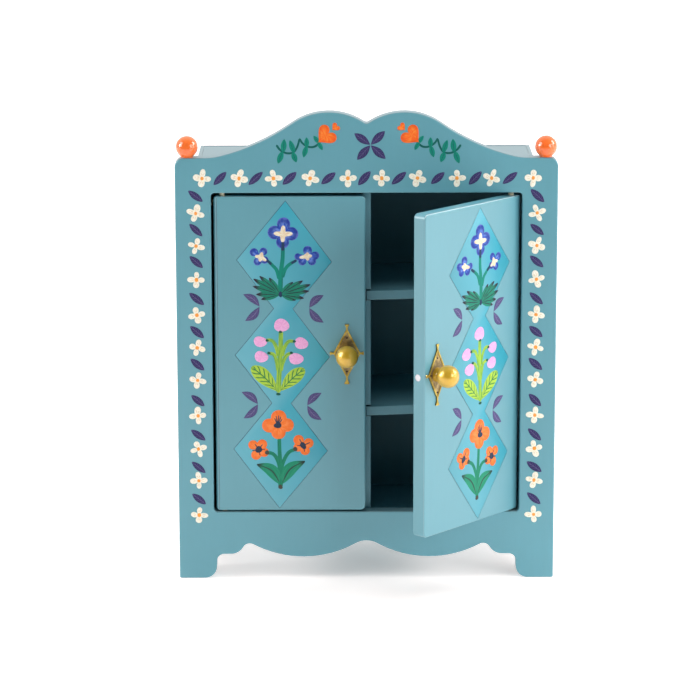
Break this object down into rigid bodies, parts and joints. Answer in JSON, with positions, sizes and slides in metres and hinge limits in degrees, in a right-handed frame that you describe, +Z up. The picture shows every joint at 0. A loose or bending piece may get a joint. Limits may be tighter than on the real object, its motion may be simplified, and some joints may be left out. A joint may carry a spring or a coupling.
{
  "type": "miniature wardrobe",
  "caption": "Painted dolls' wardrobe with a double-humped crest, two doors on wooden pins, shelves on one side and a hanging rail on the other.",
  "frame": {"origin": "on the floor, in the plane of the front panel's face, half way between its sides", "axes": "+X to the right seen from the front, +Y from the front towards the back, +Z up; the left door is stored closed and the right door open by 48.9 degrees"},
  "size_m": [0.25, 0.1803, 0.3144],
  "materials": {
    "painted_front": "matt teal paint on smooth board, with painted flowers",
    "painted_carcass": "matt teal paint on smooth board",
    "painted_inside": "matt teal paint on smooth board",
    "painted_door": "matt teal paint on smooth board, with painted flowers",
    "bare_wood": "bare light wood, lightly sanded",
    "orange_lacquer": "glossy orange lacquer on a turned ball",
    "stamped_brass": "stamped yellow brass, slightly aged in the hollows",
    "aged_brass": "dark aged brass",
    "gold_knob": "satin gold metal",
    "bright_nickel": "nickel-plated magnet face",
    "steel": "plain steel"
  },
  "bodies": {
    "carcass": {"front_panel": "painted_front", "side_left": "painted_carcass", "side_right": "painted_carcass", "top_panel": "painted_carcass", "floor_panel": "painted_inside", "back_panel": "painted_carcass", "divider": "painted_inside", "shelf_upper": "painted_inside", "shelf_lower": "painted_inside", "hanging_rail": "bare_wood", "front_dowels": "bare_wood", "floor_dowels": "bare_wood", "back_nails": "steel", "finial_left": "orange_lacquer", "finial_right": "orange_lacquer", "finial_dowel_left": "bare_wood", "finial_dowel_right": "bare_wood"},
    "left_door": {"door_left": "painted_door", "hinge_pin_left_top": "bare_wood", "hinge_pin_left_bottom": "bare_wood", "magnet_left": "bright_nickel", "handle_plate_left": "stamped_brass", "handle_nails_left": "aged_brass", "knob_left": "gold_knob", "knob_screw_left": "steel"},
    "right_door": {"door_right": "painted_door", "hinge_pin_right_top": "bare_wood", "hinge_pin_right_bottom": "bare_wood", "magnet_right": "bright_nickel", "handle_plate_right": "stamped_brass", "handle_nails_right": "aged_brass", "knob_right": "gold_knob", "knob_screw_right": "steel"}
  },
  "joints": [
    {"name": "left_door_hinge", "type": "hinge", "parent": "carcass", "child": "left_door", "pos_m": [-0.0944, 0.00475, 0.153], "axis": [0, 0, -1], "range_deg": [0, 110]},
    {"name": "right_door_hinge", "type": "hinge", "parent": "carcass", "child": "right_door", "pos_m": [0.0944, 0.00475, 0.153], "axis": [0, 0, 1], "range_deg": [-48.9, 61.1]}
  ]
}
